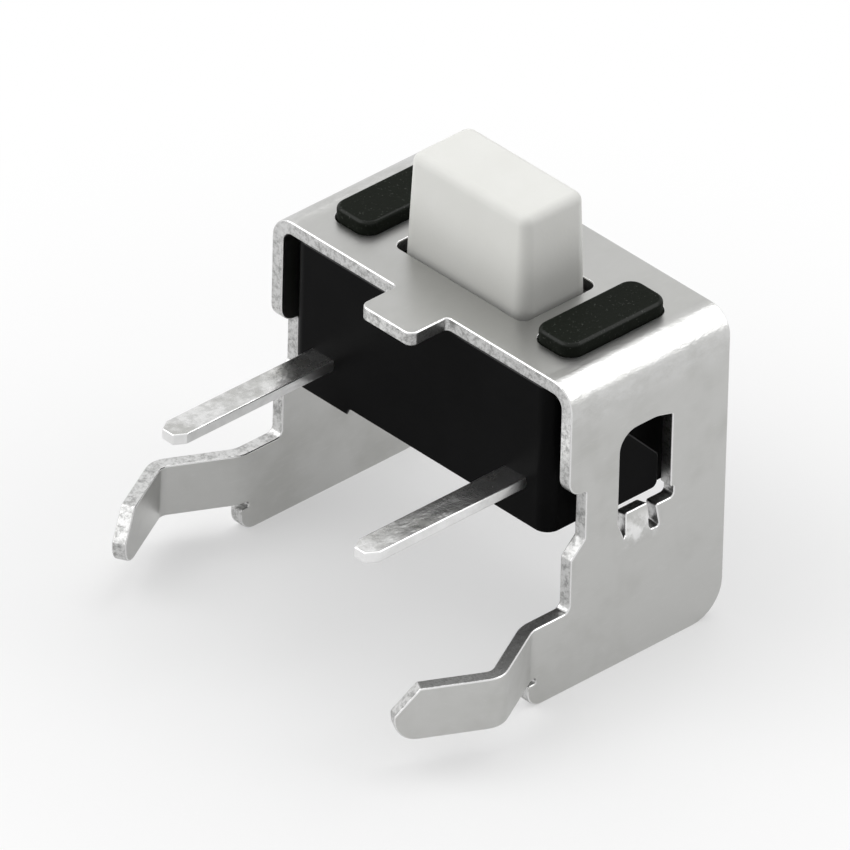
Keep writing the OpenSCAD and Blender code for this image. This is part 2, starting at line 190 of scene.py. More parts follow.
# Solid between two heights inside an outline, less holes that go through and pits with a
# floor. Its rim is a profile carried along every loop: a quarter round, a wall and a second
# quarter round. Its faces are filled flat, with the extra points in both of them. The lower
# height may be a function of the place.
def slab(loops, high, low, edge, extra=None, pits=(), draft=0, edgeLow=None, roundSteps=4):
    edges = (edge, edge if edgeLow is None else edgeLow)
    extra = np.zeros((0, 2)) if extra is None else extra
    lowAt = low if callable(low) else lambda place: np.full(len(place), float(low))
    rims = list(loops) + [(p, n) for p, n, floor in pits]
    point = np.concatenate([p for p, n in rims])
    normal = np.concatenate([n for p, n in rims])
    lengths = [len(p) for p, n in rims]
    sizes = np.cumsum([0] + lengths)
    count, throughCount = len(point), sizes[len(loops)]
    isPit = np.arange(count) >= throughCount
    level = np.concatenate([lowAt(point[:throughCount])]
                           + [np.full(len(p), float(floor)) for p, n, floor in pits])
    rings, ringNormals, rim = rimRings(point, normal, isPit, high, level, edges, draft,
                                       roundSteps)
    lastRing = (len(rings) - 1) * count
    points, normals = [rings.reshape(-1, 3)], [ringNormals.reshape(-1, 3)]
    triangles = []

    # a cap's triangles count its ring's points first, and then the points that it adds
    def addCap(fill, ringStart, ringLength, added, facing):
        start = sum(len(part) for part in points) - ringLength
        triangles.append(np.where(fill < ringLength, fill + ringStart, fill + start))
        points.append(added)
        normals.append(np.tile([0, 0, facing], (len(added), 1)))

    def ringLoops(ring, number):
        return [(ring[sizes[k]:sizes[k + 1], :2], None) for k in range(number)]

    addCap(fillLoops(ringLoops(rings[0], len(rims)), extra), 0, count,
           np.column_stack([extra, np.full(len(extra), float(high))]), 1.0)
    addCap(fillLoops(ringLoops(rings[-1], len(loops)), extra)[:, ::-1], lastRing, throughCount,
           np.column_stack([extra, lowAt(extra)]), -1.0)
    for k in range(len(loops), len(rims)):
        floorPoint = rings[-1][sizes[k]:sizes[k + 1]]
        disc = fillLoops([(floorPoint[::-1, :2], None)], np.zeros((0, 2)))
        addCap(lengths[k] - 1 - disc, 0, 0, floorPoint, 1.0)
    added = sum(len(part) for part in points[1:])
    return {"points": np.concatenate(points), "normals": np.concatenate(normals),
            "quads": ringQuads(rings, nextIndex(lengths)),
            "triangles": np.concatenate(triangles),
            "rim": np.concatenate([rim.reshape(-1), np.zeros(added)])}


# Puts a solid's own axes along three others: a point is x * axes[0] + y * axes[1] + z *
# axes[2]. A left-handed choice turns the faces round.
def placed(solid, axes):
    axes = np.array(axes, float)
    turned = dict(solid)
    turned["points"] = solid["points"] @ axes
    turned["normals"] = solid["normals"] @ axes
    if np.linalg.det(axes) < 0:
        turned["quads"] = solid["quads"][:, ::-1]
        turned["triangles"] = solid["triangles"][:, ::-1]
    return turned


# Several solids as one, with a mark between 0 and 1 on the points of each
def joined(solids, marks=None):
    marks = [0] * len(solids) if marks is None else marks
    starts = np.cumsum([0] + [len(s["points"]) for s in solids])
    whole = {key: np.concatenate([s[key] for s in solids])
             for key in ("points", "normals", "rim")}
    for key in ("quads", "triangles"):
        whole[key] = np.concatenate([s[key] + starts[k] for k, s in enumerate(solids)])
    whole["mark"] = np.concatenate([np.full(len(s["points"]), float(marks[k]))
                                    for k, s in enumerate(solids)])
    return whole


# Makes a solid an object that stands for a CAD node, and sets its finish
def addPiece(name, solid, finish, body, node):
    mesh = bpy.data.meshes.new(name)
    faces = solid["quads"].tolist() + solid["triangles"].tolist()
    mesh.from_pydata((solid["points"] * mm).tolist(), [], faces)
    mesh.polygons.foreach_set("use_smooth", np.ones(len(faces), bool))
    normals = solid["normals"] / np.linalg.norm(solid["normals"], axis=1)[:, None]
    mesh.normals_split_custom_set_from_vertices(normals.tolist())
    for key in ("rim", "mark"):
        if key in solid:
            layer = mesh.attributes.new(key, "FLOAT", "POINT")
            layer.data.foreach_set("value", solid[key].astype(np.float32))
    mesh.materials.append(finish)
    piece = bpy.data.objects.new(name, mesh)
    bpy.context.scene.collection.objects.link(piece)
    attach(piece, body)
    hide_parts(node)
    print("piece made:", name, len(faces), "faces")
    return piece


class Wire:
    # A socket in a shader. Sums and products of wires and numbers add their Math nodes.
    def __init__(self, tree, socket=None):
        self.tree, self.socket = tree, socket

    def node(self, kind, settings=None, inputs=None, output=0):
        new = self.tree.nodes.new(kind)
        for key, value in (settings or {}).items():
            setattr(new, key, value)
        for key, value in (inputs or {}).items():
            if isinstance(value, Wire):
                self.tree.links.new(value.socket, new.inputs[key])
            else:
                new.inputs[key].default_value = value
        return Wire(self.tree, new.outputs[output]) if new.outputs else None

    def maths(self, operation, *values):
        return self.node("ShaderNodeMath", {"operation": operation}, dict(enumerate(values)))

    def __add__(self, other):
        return self.maths("ADD", self, other)

    def __sub__(self, other):
        return self.maths("SUBTRACT", self, other)

    def __rsub__(self, other):
        return self.maths("SUBTRACT", other, self)

    def __mul__(self, other):
        return self.maths("MULTIPLY", self, other)

    def __abs__(self):
        return self.maths("ABSOLUTE", self)

    __radd__ = __add__
    __rmul__ = __mul__

    def step(self, start, end):
        # smooth step from 0 at start to 1 at end
        return self.node("ShaderNodeMapRange", {"interpolation_type": "SMOOTHSTEP"},
                         {"Value": self, "From Min": start, "From Max": end})

    def near(self, middle, full, gone):
        # 1 up to the distance full from the middle, and 0 from the distance gone on
        return 1 - abs(self - middle).step(full, gone)

    def blend(self, first, second):
        # colour that goes from first to second as this wire goes from 0 to 1
        return self.node("ShaderNodeMix", {"data_type": "RGBA"},
                         {0: self, 6: first, 7: second}, 2)

    def noise(self, scale, detail, rough):
        # noise with this many blotches to the millimetre
        return self.node("ShaderNodeTexNoise", None,
                         {"Vector": self, "Scale": scale, "Detail": detail, "Roughness": rough})

    def stretched(self, factors):
        # position with each of its three numbers times its factor
        return self.node("ShaderNodeVectorMath", {"operation": "MULTIPLY"},
                         {0: self, 1: factors})

    def parts(self):
        # the three numbers of a position
        node = self.node("ShaderNodeSeparateXYZ", None, {0: self}).socket.node
        return [Wire(self.tree, socket) for socket in node.outputs]

    def attribute(self, name):
        # number that the mesh keeps at its points under this name
        return self.node("ShaderNodeAttribute", {"attribute_name": name}, None, "Fac")


# A new finish: its material, and a wire with the position on the piece in millimetres
def newFinish(name):
    finish = bpy.data.materials.new(name)
    finish.use_nodes = True
    finish.node_tree.nodes.clear()
    wire = Wire(finish.node_tree)
    position = wire.node("ShaderNodeTexCoord", None, None, "Object")
    return finish, position.stretched((1 / mm, 1 / mm, 1 / mm))


# Lays a finish's colours one over another, each by its mask times its share
def layered(colour, look, masks):
    for name, mask in masks.items():
        colour = (mask * look["share"][name]).blend(colour, look[name])
    return colour


# Ends a finish with its bump, of a depth in millimetres and a strength, and its surface shader
def endFinish(wire, inputs, height, depth, strength):
    bump = wire.node("ShaderNodeBump", None,
                     {"Height": height, "Distance": depth * mm, "Strength": strength})
    surface = wire.node("ShaderNodeBsdfPrincipled", None, {**inputs, "Normal": bump})
    wire.node("ShaderNodeOutputMaterial", None, {"Surface": surface})


# In these dictionaries a noise is its blotches to the millimetre, its detail and its roughness.
# Two numbers for a mask are where it starts and where it is full. Three are a middle, how far
# from it the mask is still full, and how far from it the mask has gone. A colour's share is
# how much of it is laid on.
# Of the steel's colours, the darker top plate and the nearly black slot walls are painted shade,
# and the bright edge rounding, the bright folds and the brighter creases are painted highlights
steelLook = {"colour": (0.52, 0.52, 0.508, 1), "stain": (0.46, 0.46, 0.445, 1),
             "bright": (0.58, 0.58, 0.575, 1), "shade": (0.38, 0.38, 0.37, 1),
             "torn": (0.3, 0.3, 0.295, 1), "cut": (0.6, 0.6, 0.595, 1),
             "edge": (0.8, 0.8, 0.8, 1), "paintedFoldHighlight": (0.7, 0.7, 0.7, 1),
             "paintedSlotShade": (0.06, 0.06, 0.058, 1), "creaseAndHighlight": (0.86, 0.86, 0.86, 1),
             "share": {"bright": 0.3, "shade": 0.5, "edge": 0.75, "paintedFoldHighlight": 0.5, "paintedSlotShade": 0.8,
                       "creaseAndHighlight": 0.7},
             "cloud": (0.8, 3, 0.6), "streak": (1.5, 4, 0.65), "speck": (9, 5, 0.8),
             "pit": (26, 2, 0.6), "dent": (2.6, 5, 0.72), "creaseNoise": (3.2, 4, 0.65),
             "streakStretch": (10, 2.5, 10), "dentStretch": (1, 0.6, 1),
             "wall": (0.8, 0.99), "paintedEdgeHighlight": (0.05, 0.4), "stained": (0.4, 0.72),
             "streaked": (0.5, 0.78), "tornSpeck": (0.42, 0.64), "dented": (0.35, 0.7),
             "creased": (0.38, 0.6),
             "notchY": (-0.7, 0.13, 0.2), "notchZ": (0.47, 0.1, 0.15),
             "foldX": (2.85, 3.2), "foldZ": (4.7, 5.35),
             "slotX": (0, 1.5, 1.56), "slotY": (1.61, 0.82, 0.88), "slotZ": (5.3, 5.4),
             "topX": (0, 2.95, 3.15), "topZ": (5.62, 5.73),
             "tongueX": (3.1, 3.2), "tongueY": (1.6, 0.3, 0.46),
             "tongueFoot": (2.12, 2.3), "tongueHead": (2.5, 2.8), "bump": (0.005, 0.4)}


# Tinned sheet: a mid grey metal. Slow clouds stain it, fine streaks along the sheet brighten
# it, and the top plate is painted a shade darker as painted shade. On cut edges, specks of torn
# dark steel lie in a brighter wall, and the rounding of each edge is painted brighter as a
# painted highlight. Round the folds it is painted brighter as a painted highlight and dented by
# the bending, and the tongues' roots are creased, with the creases painted brighter as a painted
# highlight. The walls of the middle slot are painted nearly black as painted shade. Roughness
# rises with the clouds, the streaks and the specks.
def tinnedSteel():
    finish, spot = newFinish("tinned steel")
    look = steelLook
    across, deep, high = spot.parts()
    outward = abs(across)
    rim = spot.attribute("rim")
    wall = rim.step(*look["wall"])
    notch = deep.near(*look["notchY"]) * high.near(*look["notchZ"])
    # the rounding of each edge is painted brighter as a painted highlight, mostly kept off the
    # notch under the leg
    paintedEdgeHighlight = rim.step(*look["paintedEdgeHighlight"]) * (1 - wall) * (1 - notch * 0.85)
    cloud = spot.noise(*look["cloud"])
    streak = spot.stretched(look["streakStretch"]).noise(*look["streak"])
    speck = spot.noise(*look["speck"])
    pit = spot.noise(*look["pit"])
    torn = speck.step(*look["tornSpeck"])
    # round the folds the sheet is dented, and its colour is painted brighter there as a painted
    # highlight
    fold = outward.step(*look["foldX"]) * high.step(*look["foldZ"])
    dent = spot.stretched(look["dentStretch"]).noise(*look["dent"])
    # the walls of the middle slot are painted nearly black: painted shade in the narrow gap
    slot = across.near(*look["slotX"]) * deep.near(*look["slotY"]) * high.step(*look["slotZ"])
    # the top plate, painted a shade darker: painted shade
    top = high.step(*look["topZ"]) * across.near(*look["topX"])
    # the tongues' roots are creased, and the creases are also painted brighter as a painted
    # highlight
    tongue = (outward.step(*look["tongueX"]) * deep.near(*look["tongueY"])
              * high.step(*look["tongueFoot"]) * (1 - high.step(*look["tongueHead"])))
    creaseAndHighlight = spot.noise(*look["creaseNoise"])

    colour = cloud.step(*look["stained"]).blend(look["colour"], look["stain"])
    colour = layered(colour, look, {"bright": streak.step(*look["streaked"]), "shade": top})
    colour = wall.blend(colour, torn.blend(look["cut"], look["torn"]))
    # edges and folds take painted highlights, the slot walls painted shade, and the tongues'
    # creases a painted highlight
    colour = layered(colour, look, {"edge": paintedEdgeHighlight, "paintedFoldHighlight": fold * dent.step(*look["dented"]),
                                    "paintedSlotShade": wall * slot,
                                    "creaseAndHighlight": tongue * creaseAndHighlight.step(*look["creased"])})
    rough = 0.25 + cloud * 0.08 + streak * 0.06 + wall * torn * 0.12 - paintedEdgeHighlight * 0.06
    height = (streak * 0.5 + pit * 0.25 + wall * speck * 1.8 + fold * dent * 12
              + tongue * creaseAndHighlight * 16)
    endFinish(spot, {"Base Color": colour, "Metallic": 1.0, "Roughness": rough},
              height, *look["bump"])
    return finish


# the edge colour is a painted highlight on the rims
silverLook = {"colour": (0.72, 0.72, 0.715, 1), "stain": (0.47, 0.47, 0.455, 1),
              "spot": (0.4, 0.4, 0.39, 1), "edge": (0.86, 0.86, 0.86, 1),
              "share": {"spot": 0.5, "edge": 0.7},
              "cloud": (1.8, 3, 0.6), "hammer": (1.5, 3, 0.55), "mottle": (5, 4, 0.7),
              "hammerStretch": (3, 1.6, 3), "rim": (0.1, 0.6), "stained": (0.4, 0.66),
              "spotted": (0.42, 0.66), "bump": (0.03, 0.4)}


# Silvered brass: hammered waves, soft stains and darker mottles. Its edges are smoother, and
# painted brighter as a painted highlight
def platedBrass():
    finish, spot = newFinish("silvered brass")
    look = silverLook
    rim = spot.attribute("rim").step(*look["rim"])
    cloud = spot.noise(*look["cloud"])
    hammer = spot.stretched(look["hammerStretch"]).noise(*look["hammer"])
    mottle = spot.noise(*look["mottle"])
    colour = cloud.step(*look["stained"]).blend(look["colour"], look["stain"])
    # the edges are painted brighter: a painted highlight
    colour = layered(colour, look, {"spot": mottle.step(*look["spotted"]), "edge": rim})
    rough = 0.16 + cloud * 0.14 + mottle * 0.06 + rim * 0.05
    endFinish(spot, {"Base Color": colour, "Metallic": 1.0, "Roughness": rough},
              hammer, *look["bump"])
    return finish


blackLook = {"dark": (0.0022, 0.0022, 0.0024, 1), "pale": (0.0036, 0.0036, 0.0038, 1),
             "head": (0.0095, 0.0115, 0.0085, 1), "glitter": (0.09, 0.095, 0.085, 1),
             "share": {"head": 0.9, "glitter": 0.5},
             "cloud": (0.7, 3, 0.6), "grain": (14, 3, 0.6), "crumb": (8, 5, 0.7),
             "glitterNoise": (24, 3, 0.6), "rim": (0.1, 0.5), "wall": (0.8, 0.99),
             "clouded": (0.35, 0.7), "glittering": (0.62, 0.7), "specular": 0.03,
             "coat": 0.5, "coatRough": 0.25, "bump": (0.01, 0.35)}


# Black moulding: nearly black with slow clouds and a fine grain. The heads of the posts are
# greenish and crumbly, with a few glittering grains. Rounded edges take a thin clear shine.
def blackMoulding():
    finish, spot = newFinish("black moulding")
    look = blackLook
    head = spot.attribute("mark")
    rim = spot.attribute("rim")
    edge = rim.step(*look["rim"]) * (1 - rim.step(*look["wall"])) * (1 - head * 0.5)
    cloud = spot.noise(*look["cloud"])
    grain = spot.noise(*look["grain"])
    crumb = spot.noise(*look["crumb"])
    glitter = spot.noise(*look["glitterNoise"]).step(*look["glittering"]) * head
    colour = cloud.step(*look["clouded"]).blend(look["dark"], look["pale"])
    colour = layered(colour, look, {"head": head, "glitter": glitter})
    rough = 0.36 + cloud * 0.12 + grain * 0.06 + head * 0.1
    height = grain * 0.35 + crumb * head * 2.2
    endFinish(spot, {"Base Color": colour, "Roughness": rough,
                     "Specular IOR Level": look["specular"],
                     "Coat Weight": edge * look["coat"], "Coat Roughness": look["coatRough"]},
              height, *look["bump"])
    return finish


# the shade colour is painted shade, laid on towards the top plate
ivoryLook = {"warm": (0.79, 0.79, 0.755, 1), "pale": (0.82, 0.82, 0.79, 1),
             "fleck": (0.76, 0.76, 0.725, 1), "shade": (0.13, 0.13, 0.12, 1),
             "share": {"fleck": 0.3, "shade": 0.3},
             "cloud": (0.6, 3, 0.55), "grain": (16, 3, 0.6), "clouded": (0.35, 0.7),
             "flecked": (0.55, 0.8), "clear": (5.75, 7), "specular": 0.35,
             "bump": (0.005, 0.3)}


# Ivory moulding: warm white with faint clouds and a fine grain, and painted shade that makes it
# darker towards the top plate
def ivoryMoulding():
    finish, spot = newFinish("ivory moulding")
    look = ivoryLook
    high = spot.parts()[2]
    cloud = spot.noise(*look["cloud"])
    grain = spot.noise(*look["grain"])
    colour = cloud.step(*look["clouded"]).blend(look["warm"], look["pale"])
    # the last layer is painted shade, darker towards the top plate
    colour = layered(colour, look, {"fleck": grain.step(*look["flecked"]),
                                    "shade": 1 - high.step(*look["clear"])})
    rough = 0.42 + cloud * 0.1 + grain * 0.06
    endFinish(spot, {"Base Color": colour, "Roughness": rough,
                     "Specular IOR Level": look["specular"]}, grain, *look["bump"])
    return finish


springLook = {"dark": (0.55, 0.55, 0.53, 1), "bright": (0.64, 0.64, 0.63, 1),
              "streak": (2, 4, 0.6), "streakStretch": (2, 12, 2), "streaked": (0.3, 0.8),
              "bump": (0.003, 0.4)}


# Spring steel: bright grey with streaks across the dome
def springSteel():
    finish, spot = newFinish("spring steel")
    look = springLook
    streak = spot.stretched(look["streakStretch"]).noise(*look["streak"])
    colour = streak.step(*look["streaked"]).blend(look["dark"], look["bright"])
    endFinish(spot, {"Base Color": colour, "Metallic": 1.0, "Roughness": 0.24 + streak * 0.14},
              streak, *look["bump"])
    return finish


bracketSize = {"width": 7.0, "sheet": 0.25, "edge": 0.028, "fold": 0.45, "spacing": 0.05,
               "tabWidth": 1.2, "seat": 0.8, "tabCorner": 0.16, "punch": 0.08,
               "slot": (3.02, 1.64), "slotCorner": 0.16, "slotAhead": 0.14,
               "postHole": (0.9, 2.22), "postCorner": 0.27, "postAhead": 0.05,
               "postPitch": 4.72, "heel": 0.65, "shoulder": 0.3, "cheek": 0.08,
               "relief": 0.38, "reliefLow": 2.47, "reliefHigh": 3.68, "reliefCorner": 0.32,
               "small": 0.05, "pastBend": 0.04, "inset": 0.08, "margin": 0.048}
legSize = {"low": 0.54, "high": 1.5, "straight": 0.62, "angle": 27.5, "throw": 0.64,
           "flare": 0.55, "knee": 0.34, "reach": 3.52, "tipLength": 0.42, "tipHeight": 0.48,
           "tipCorner": 0.4, "notch": 0.05, "notchCorner": 0.048, "crook": 0.12,
           "inset": 0.06}
windowSize = {"y": 1.11, "width": 1.15, "low": 2.74, "high": 4.45, "sag": (0.36, 0.1),
              "bay": (0.07, 0.2), "tongueRoot": (1.295, 1.815), "tongueEnd": (1.365, 1.865),
              "tongueLow": 2.3, "tongueHigh": 2.76, "tongueBend": 0.16, "lean": 12,
              "slit": 0.04, "slitRise": 0.1, "slitShift": 0.015, "gap": (0.12, 0.22),
              "gapRise": 0.028, "bendZone": (-0.05, 0.2),
              "radii": (0.36, 0.6, 0.04, 0.036, 0.03, 0.08, 0.04, 0.05, 0.05, 0.05, 0.05,
                        0.018, 0.018, 0.05)}  # in the order of windowCorners


# Straight stretches and bends laid end to end. The heading at a distance is what the bends
# have turned by up to there, and the place is the running sum of the heading's cosine and
# sine. Returns how far along and how far aside the place lies, and the heading.
def bentPath(stretches, distance):
    lengths = np.array([length for length, turn in stretches])
    turns = np.radians([turn for length, turn in stretches])
    knots = np.concatenate([[0], np.cumsum(lengths)])
    headings = np.concatenate([[0], np.cumsum(turns)])
    tableSteps = 6000
    table = np.linspace(0, knots[-1], tableSteps + 1)
    heading = np.interp(table, knots, headings)
    middle = (heading[1:] + heading[:-1]) / 2
    step = table[1] - table[0]
    along = np.concatenate([[0], np.cumsum(np.cos(middle) * step)])
    aside = np.concatenate([[0], np.cumsum(np.sin(middle) * step)])
    return (np.interp(distance, table, along), np.interp(distance, table, aside),
            np.interp(distance, table, heading))


# Where a fold lies: the distances from the centre line at which it starts and ends in the
# flat sheet, the radius of its middle layer, the height at which the side plate begins, and
# the X of the side plate's middle layer
def foldPlace(top):
    s = bracketSize
    half, radius = s["width"] / 2, s["fold"] - s["sheet"] / 2
    start = half - s["fold"]
    return {"start": start, "end": start + radius * math.pi / 2, "radius": radius,
            "low": top - s["fold"], "plateX": half - s["sheet"] / 2}


# Stretches of the leg from its root: the flare, a run, the knee, and a second run to the tip.
# A bend moves the leg on and aside by its radius times the tangent of half its turn, and the
# runs are what is then left of the throw and of the reach.
def legStretches():
    leg = legSize
    angle = math.radians(leg["angle"])
    run = (leg["throw"] / math.sin(angle) - leg["flare"] * math.tan(angle / 2)
           - leg["knee"] * math.tan(angle))
    kneeY = leg["straight"] + leg["flare"] * math.tan(angle / 2) + leg["throw"] / math.tan(angle)
    tipRun = (leg["reach"] - kneeY) / math.cos(angle) - leg["knee"] * math.tan(angle)
    return [(leg["flare"] * angle, leg["angle"]), (run, 0),
            (leg["knee"] * 2 * angle, -2 * leg["angle"]), (tipRun, 0)]


# Corners of the window, with the bay that the tongue stands in, as Z and Y on the side plate.
# The leaning tongue is longer than its height by one over the cosine of its lean.
def windowCorners():
    win = windowSize
    front, rear = win["y"], win["y"] + win["width"]
    (rootFront, rootRear), (endFront, endRear) = win["tongueRoot"], win["tongueEnd"]
    tongueLength = (win["tongueHigh"] - win["tongueLow"]) / math.cos(math.radians(win["lean"]))
    tongueTop, slitTop = win["tongueLow"] + tongueLength, win["tongueLow"] + win["slitRise"]
    bayY, bayTop = rear + win["bay"][0], win["low"] + win["bay"][1]
    return np.array([
        (win["high"], front), (win["high"], rear - win["sag"][0]),
        (win["high"] - win["sag"][1], rear), (bayTop, rear), (bayTop, bayY), (win["low"], bayY),
        (win["low"], rootRear + win["gap"][0]), (win["tongueLow"], rootRear + win["gap"][1]),
        (win["tongueLow"] + win["gapRise"], rootRear), (tongueTop, endRear),
        (tongueTop, endFront), (slitTop, rootFront + win["slitShift"]),
        (slitTop, rootFront - win["slit"]), (win["low"], front)])


# The bracket is cut out flat and then bent. In the flat, u is the distance across the sheet's
# middle layer from the centre line, v is Y, and n is the height above the middle layer. The
# slot and the post holes lie a little ahead of the middle of the depth.
def bracketSheet():
    s, leg, win = bracketSize, legSize, windowSize
    depth, top = nodeBox("bracket")[1][1:]
    fold, legPath = foldPlace(top), legStretches()
    flareLength, run, kneeLength, tipRun = (length for length, turn in legPath)
    tip = -leg["straight"] - flareLength - run - kneeLength - tipRun
    notchZ = leg["low"] - 2 * leg["notch"]
    diagonal = s["relief"] - s["cheek"]

    def u(z):
        return fold["end"] + fold["low"] - z

    # right half of the outline, from the tab round to the heel: u, v, corner radius
    right = [(s["tabWidth"] / 2, -s["seat"], s["tabCorner"]),
             (s["tabWidth"] / 2, 0, s["punch"]),
             (u(s["reliefHigh"]), 0, s["reliefCorner"]),
             (u(s["reliefHigh"]), s["relief"], s["small"]),
             (u(s["reliefLow"] + diagonal), s["relief"], s["small"]),
             (u(s["reliefLow"]), s["cheek"], s["small"]),
             (u(leg["high"]), s["cheek"], leg["crook"]),
             (u(leg["high"]), tip + leg["tipLength"], s["small"]),
             (u(leg["high"] - leg["tipHeight"]), tip, s["small"]),
             (u(leg["low"]), tip, leg["tipCorner"]),
             (u(leg["low"]), -leg["straight"], leg["notchCorner"]),
             (u(notchZ), -leg["straight"], leg["notchCorner"]),
             (u(notchZ), -s["seat"], s["small"]),
             (u(0), -s["seat"], s["shoulder"]),
             (u(0), depth, s["heel"])]
    right = np.array(right)
    both = np.concatenate([right, (right * (-1, 1, 1))[::-1]])
    outline = roundedLoop(both[:, :2], both[:, 2], s["spacing"])

    slotY, postY = depth / 2 - s["slotAhead"], depth / 2 - s["postAhead"]
    holes = [rectangleLoop((0, slotY), *s["slot"], s["slotCorner"], s["spacing"], True)]
    holes += [rectangleLoop((side * s["postPitch"] / 2, postY), *s["postHole"],
                            s["postCorner"], s["spacing"], True) for side in (-1, 1)]
    window = windowCorners()
    window[:, 0] = u(window[:, 0])
    holes.append(roundedLoop(window, win["radii"], s["spacing"]))
    holes.append(roundedLoop((window * (-1, 1))[::-1], win["radii"][::-1], s["spacing"]))

    # extra points where the sheet bends, and a little past each end of a bend
    loops, past = [outline] + holes, s["pastBend"]
    foldU = np.linspace(fold["start"] - past, fold["end"] + past, 15)
    legU = np.linspace(u(leg["high"]) + leg["inset"], u(leg["low"]) - leg["inset"], 10)
    flareV = -leg["straight"] - np.linspace(-past, flareLength + past, 8)
    kneeV = -leg["straight"] - flareLength - run - np.linspace(-past, kneeLength + past, 12)
    tongueU = u(win["tongueLow"] + np.linspace(*win["bendZone"], 6))
    zones = [(foldU, np.linspace(s["inset"], depth - s["inset"], 30)), (legU, flareV),
             (legU, kneeV), (tongueU, np.linspace(*win["tongueRoot"], 8))]
    extra = [innerPoints(loops, side * zoneU, zoneV, s["margin"])
             for zoneU, zoneV in zones for side in (-1, 1)]
    flat = slab(loops, s["sheet"] / 2, -s["sheet"] / 2, s["edge"], np.concatenate(extra))
    return bentBracket(flat, fold, legPath)


# Bends the flat sheet. Each point keeps its height n along the sheet's normal while its place
# on the middle layer goes round the fold, then out along the leg or in along the tongue.
def bentBracket(flat, fold, legPath):
    leg, win = legSize, windowSize
    u, v, n = flat["points"].T
    side = np.where(u < 0, -1.0, 1.0)
    reach = abs(u)
    zero, one = np.zeros_like(u), np.ones_like(u)
    onPlate = reach > fold["end"]
    slack = 0.03  # takes in the points on the very edge
    plateLength, tongueLength = 8, 2  # more than is needed, so that every point is on its path

    def columns(x, y, z):
        return np.stack([x, y, z], 1)

    # round the fold and down the side plate
    foldPath = [(fold["start"], 0), (fold["radius"] * math.pi / 2, 90), (plateLength, 0)]
    across, down, turn = bentPath(foldPath, reach)
    place = columns(across, v, fold["low"] + fold["radius"] - down)
    alongU = columns(np.cos(turn), zero, -np.sin(turn))
    alongV = columns(zero, one, zero)
    alongN = columns(np.sin(turn), zero, np.cos(turn))
    z = place[:, 2].copy()

    # along the leg, which flares outwards and turns back
    isLeg = onPlate & (v < -leg["straight"]) & (z > leg["low"] - slack)
    along, aside, turn = bentPath(legPath, np.maximum(-leg["straight"] - v, 0))
    pick = isLeg[:, None]
    place = np.where(pick, columns(fold["plateX"] + aside, -leg["straight"] - along, z), place)
    alongV = np.where(pick, columns(-np.sin(turn), np.cos(turn), zero), alongV)
    alongN = np.where(pick, columns(np.cos(turn), np.sin(turn), zero), alongN)

    # up the tongue, which leans inwards
    front, rear = (np.interp(z, [win["tongueLow"], win["tongueHigh"]],
                             [win["tongueRoot"][k], win["tongueEnd"][k]]) for k in (0, 1))
    isTongue = (onPlate & (v > front - win["slit"] / 2) & (v < rear + win["slit"] / 2)
                & (z > win["tongueLow"]) & (z < win["tongueHigh"] + slack))
    tonguePath = [(win["tongueBend"] * math.radians(win["lean"]), win["lean"]),
                  (tongueLength, 0)]
    along, aside, turn = bentPath(tonguePath, np.maximum(z - win["tongueLow"], 0))
    pick = isTongue[:, None]
    place = np.where(pick, columns(fold["plateX"] - aside, v, win["tongueLow"] + along), place)
    alongU = np.where(pick, columns(np.sin(turn), zero, -np.cos(turn)), alongU)
    alongN = np.where(pick, columns(np.cos(turn), zero, np.sin(turn)), alongN)

    place = place + alongN * n[:, None]
    nu, nv, nn = flat["normals"].T
    normal = alongU * (nu * side)[:, None] + alongV * nv[:, None] + alongN * nn[:, None]
    mirror = columns(side, one, one)
    bent = dict(flat)
    bent["points"] = place * mirror
    bent["normals"] = normal * mirror
    return bent


steel = tinnedSteel()
addPiece("bracket_sheet", bracketSheet(), steel, "switch_body", "bracket")


housingSize = {"width": 6.0, "low": 2.73, "high": 5.5, "edge": 0.035, "corner": 0.27,
               "spacing": 0.05, "lift": 0.13, "span": 3.3, "stepWidth": 0.05,
               "cavity": (3.4, 2.4), "floor": 3.62,
               "postPitch": 4.72, "post": (0.88, 2.2), "postCorner": 0.26, "postAhead": 0.05,
               "postEdge": 0.08, "sunk": 0.1,
               "bossGap": 0.03, "bossShare": 0.8, "bossDrop": 0.1, "bossLow": 3.0,
               "bossHigh": 4.3, "bossSlope": 0.66, "bossRadii": (0.06, 0.12, 0.1, 0.05, 0.2)}


